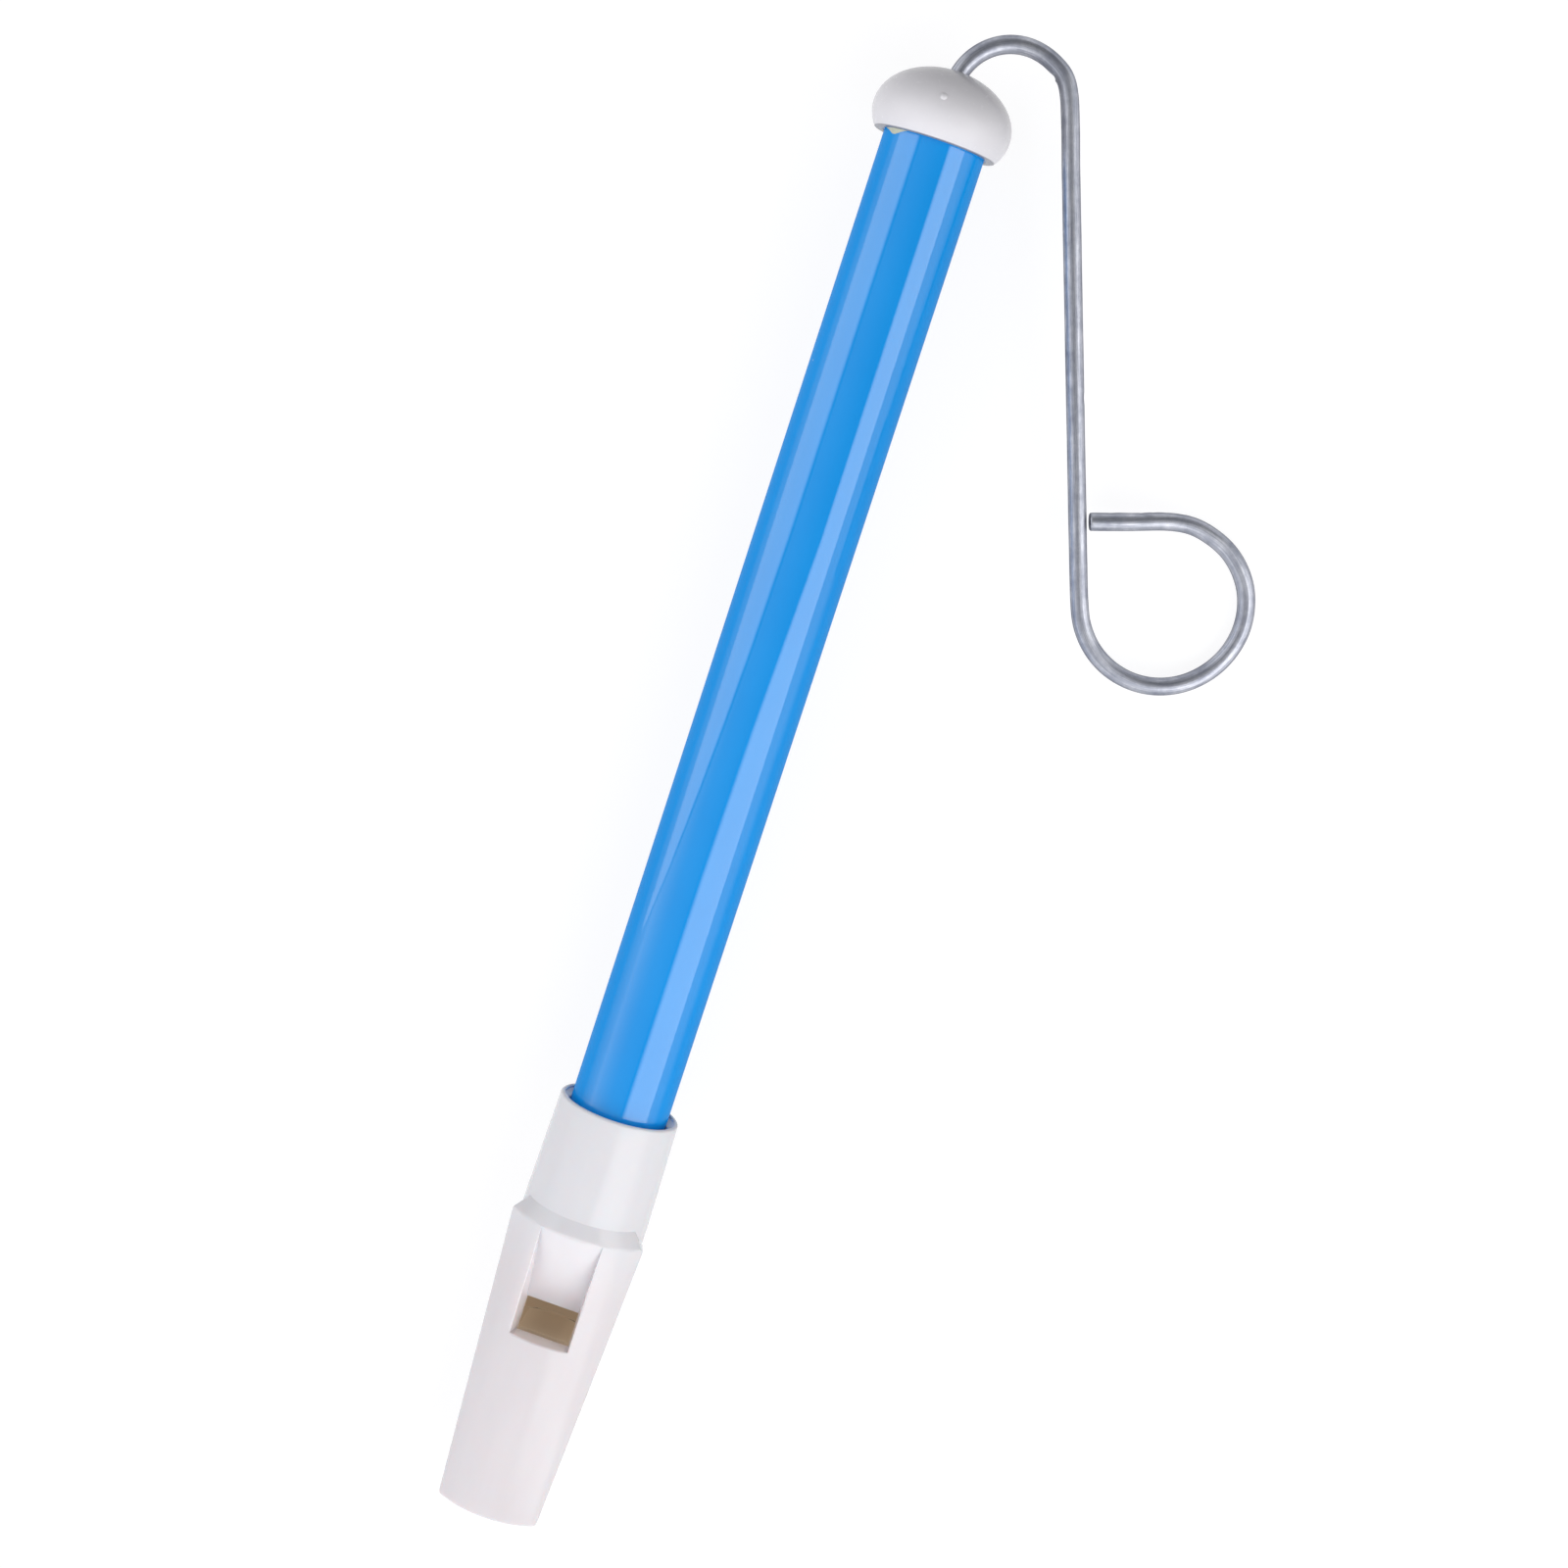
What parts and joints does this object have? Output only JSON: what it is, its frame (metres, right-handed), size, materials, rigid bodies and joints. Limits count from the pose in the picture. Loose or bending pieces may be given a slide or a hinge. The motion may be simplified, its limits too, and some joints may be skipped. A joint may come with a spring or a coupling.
{
  "type": "slide whistle",
  "caption": "Slide whistle: moulded beak mouthpiece, glossy blue metal tube, domed end cap and a bent wire plunger that ends in a finger ring.",
  "frame": {"origin": "centre of the blowing end's face, on the tube's axis", "axes": "+X along the tube's axis towards the end cap, +Z out of the sound window, +Y to the side away from the finger ring"},
  "size_m": [0.2019, 0.0661, 0.018],
  "materials": {
    "white_plastic": "moulded, satin gloss",
    "block_plastic": "moulded, satin gloss",
    "blue_lacquer": "clear gloss lacquer over blue",
    "cap_plastic": "moulded, satin",
    "grey_felt": "pressed felt",
    "steel_wire": "drawn and plated",
    "piston_plastic": "turned",
    "tan_felt": "pressed felt",
    "clip_steel": "stamped"
  },
  "bodies": {
    "whistle": {"mouthpiece": "white_plastic", "fipple_block": "block_plastic", "tube": "blue_lacquer", "end_cap": "cap_plastic", "bumper_washer": "grey_felt"},
    "plunger": {"piston": "piston_plastic", "piston_seal": "tan_felt"},
    "wire": {"pull_wire": "steel_wire", "front_clip": "clip_steel", "rear_clip": "clip_steel"}
  },
  "joints": [
    {"name": "plunger_slide", "type": "slide", "parent": "whistle", "child": "plunger", "axis": [1, 0, 0], "range_m": [0, 0.119]},
    {"name": "wire_turn", "type": "hinge", "parent": "plunger", "child": "wire", "pos_m": [0.0635, 0, 0], "axis": [1, 0, 0], "continuous": true}
  ]
}
